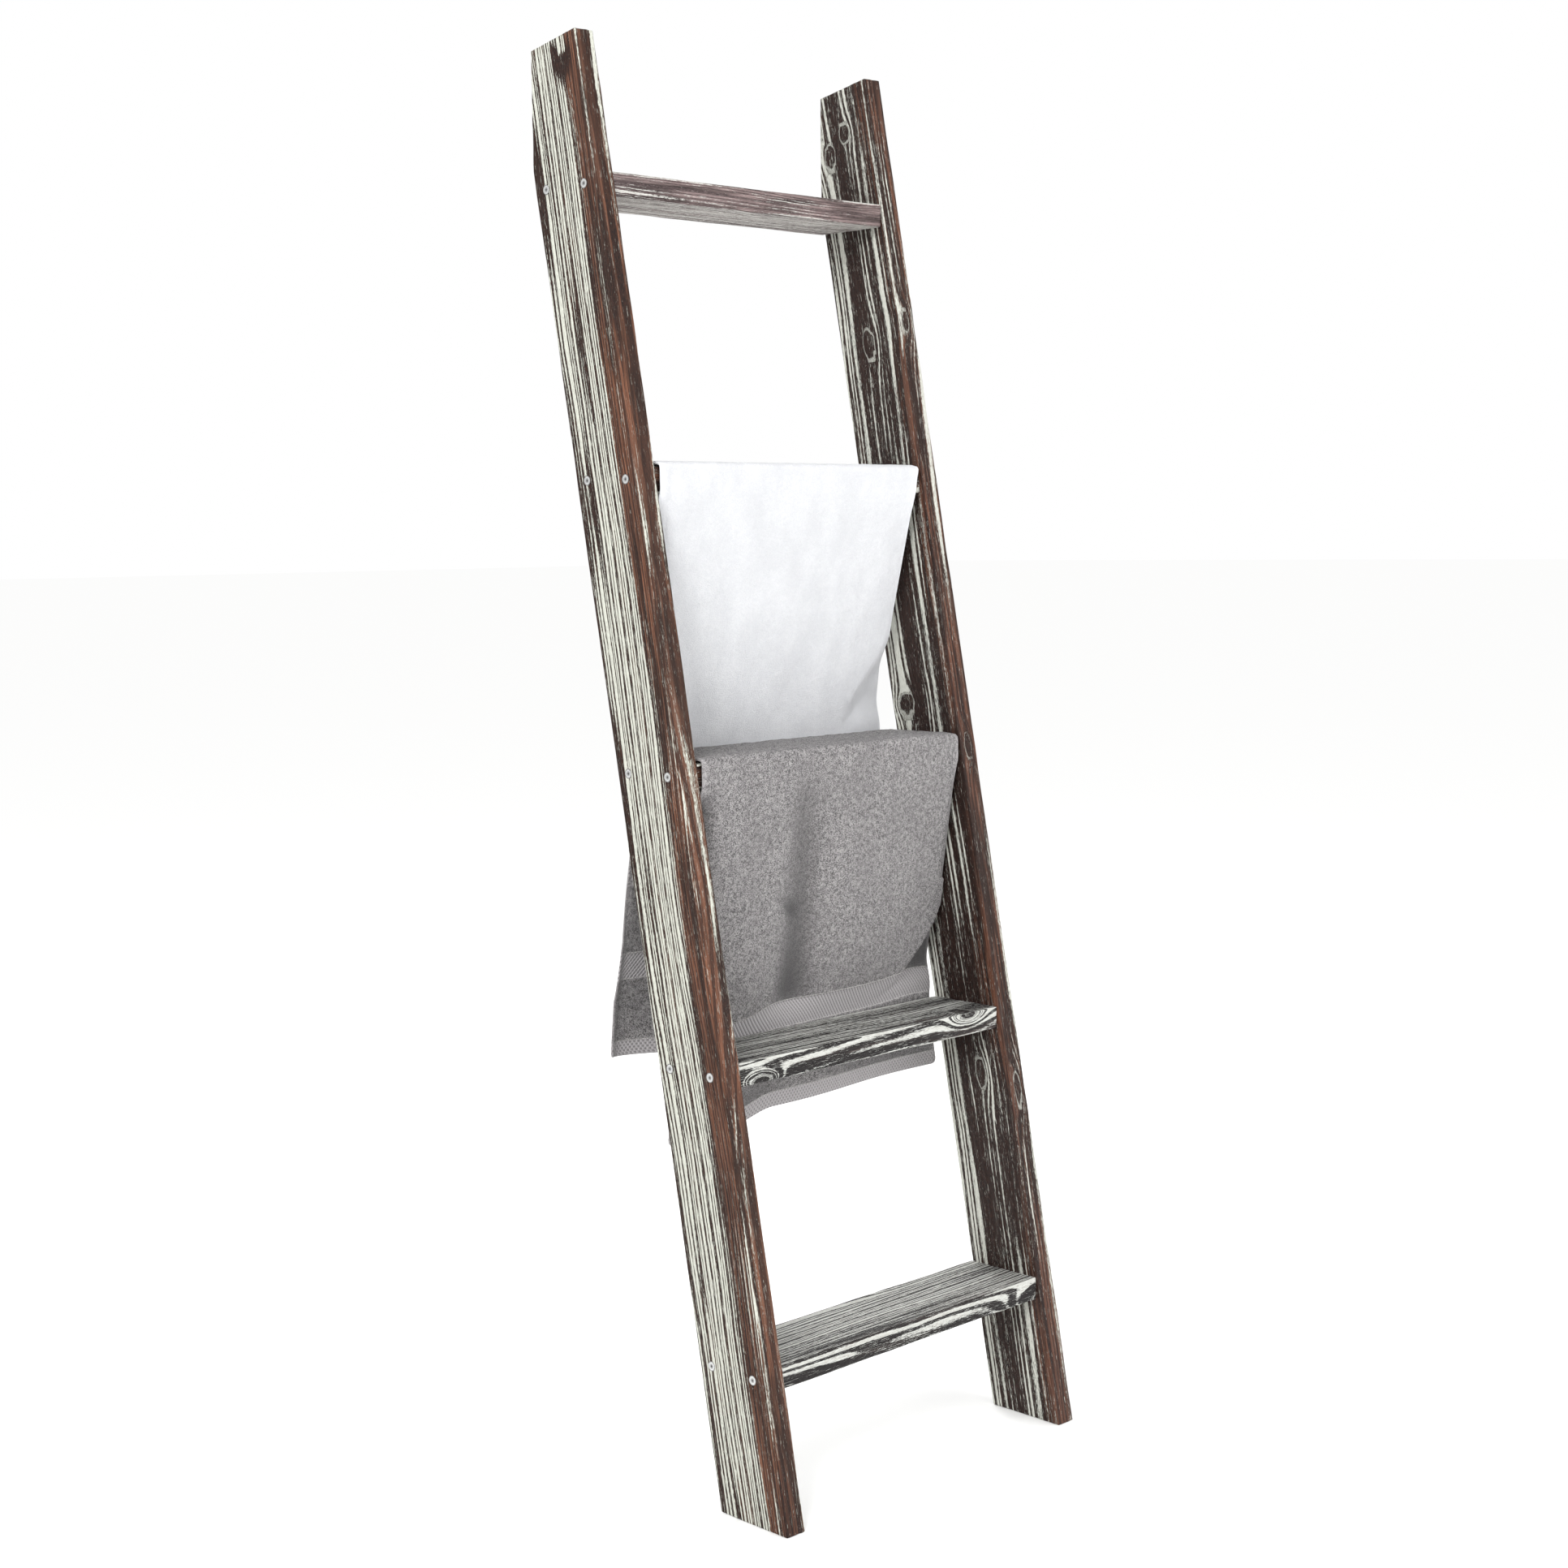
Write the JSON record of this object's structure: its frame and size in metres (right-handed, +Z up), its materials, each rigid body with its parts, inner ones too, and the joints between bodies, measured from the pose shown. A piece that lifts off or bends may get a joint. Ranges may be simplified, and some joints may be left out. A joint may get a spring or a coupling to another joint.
{
  "type": "ladder towel rack",
  "caption": "Wall-leaning wooden ladder rack of two plank rails and level plank rungs, screwed through the rails, with a white and a grey terry hand towel draped over the rungs.",
  "frame": {"origin": "on the floor, midway between the rails, and midway between the rails' toes and the wall", "axes": "+X to the right as seen from the room, +Y towards the wall that the rack leans on, +Z up"},
  "size_m": [0.42, 0.33, 1.407],
  "materials": {
    "whitewashed_wood": "brushed, charred and whitewashed, matte",
    "stained_wood": "brushed, charred and whitewashed, darker, matte",
    "zinc_screw": "bright zinc, satin",
    "grey_terry": "cotton terry with a woven dobby band",
    "white_terry": "cotton terry with a woven dobby band"
  },
  "bodies": {
    "rack": {"left_rail": "whitewashed_wood", "right_rail": "stained_wood", "rung_1": "whitewashed_wood", "rung_2": "whitewashed_wood", "rung_3": "stained_wood", "rung_4": "stained_wood", "rung_5": "stained_wood", "screw_left_1_front": "zinc_screw", "screw_left_1_back": "zinc_screw", "screw_left_2_front": "zinc_screw", "screw_left_2_back": "zinc_screw", "screw_left_3_front": "zinc_screw", "screw_left_3_back": "zinc_screw", "screw_left_4_front": "zinc_screw", "screw_left_4_back": "zinc_screw", "screw_left_5_front": "zinc_screw", "screw_left_5_back": "zinc_screw", "screw_right_1_front": "zinc_screw", "screw_right_1_back": "zinc_screw", "screw_right_2_front": "zinc_screw", "screw_right_2_back": "zinc_screw", "screw_right_3_front": "zinc_screw", "screw_right_3_back": "zinc_screw", "screw_right_4_front": "zinc_screw", "screw_right_4_back": "zinc_screw", "screw_right_5_front": "zinc_screw", "screw_right_5_back": "zinc_screw"},
    "grey_towel": {"grey_towel": "grey_terry"},
    "white_towel": {"white_towel": "white_terry"}
  },
  "joints": [
    {"name": "grey_towel_slide", "type": "slide", "parent": "rack", "child": "grey_towel", "axis": [1, 0, 0], "range_m": [-0.0035, 0.0035]},
    {"name": "white_towel_slide", "type": "slide", "parent": "rack", "child": "white_towel", "axis": [1, 0, 0], "range_m": [-0.0035, 0.0035]}
  ]
}
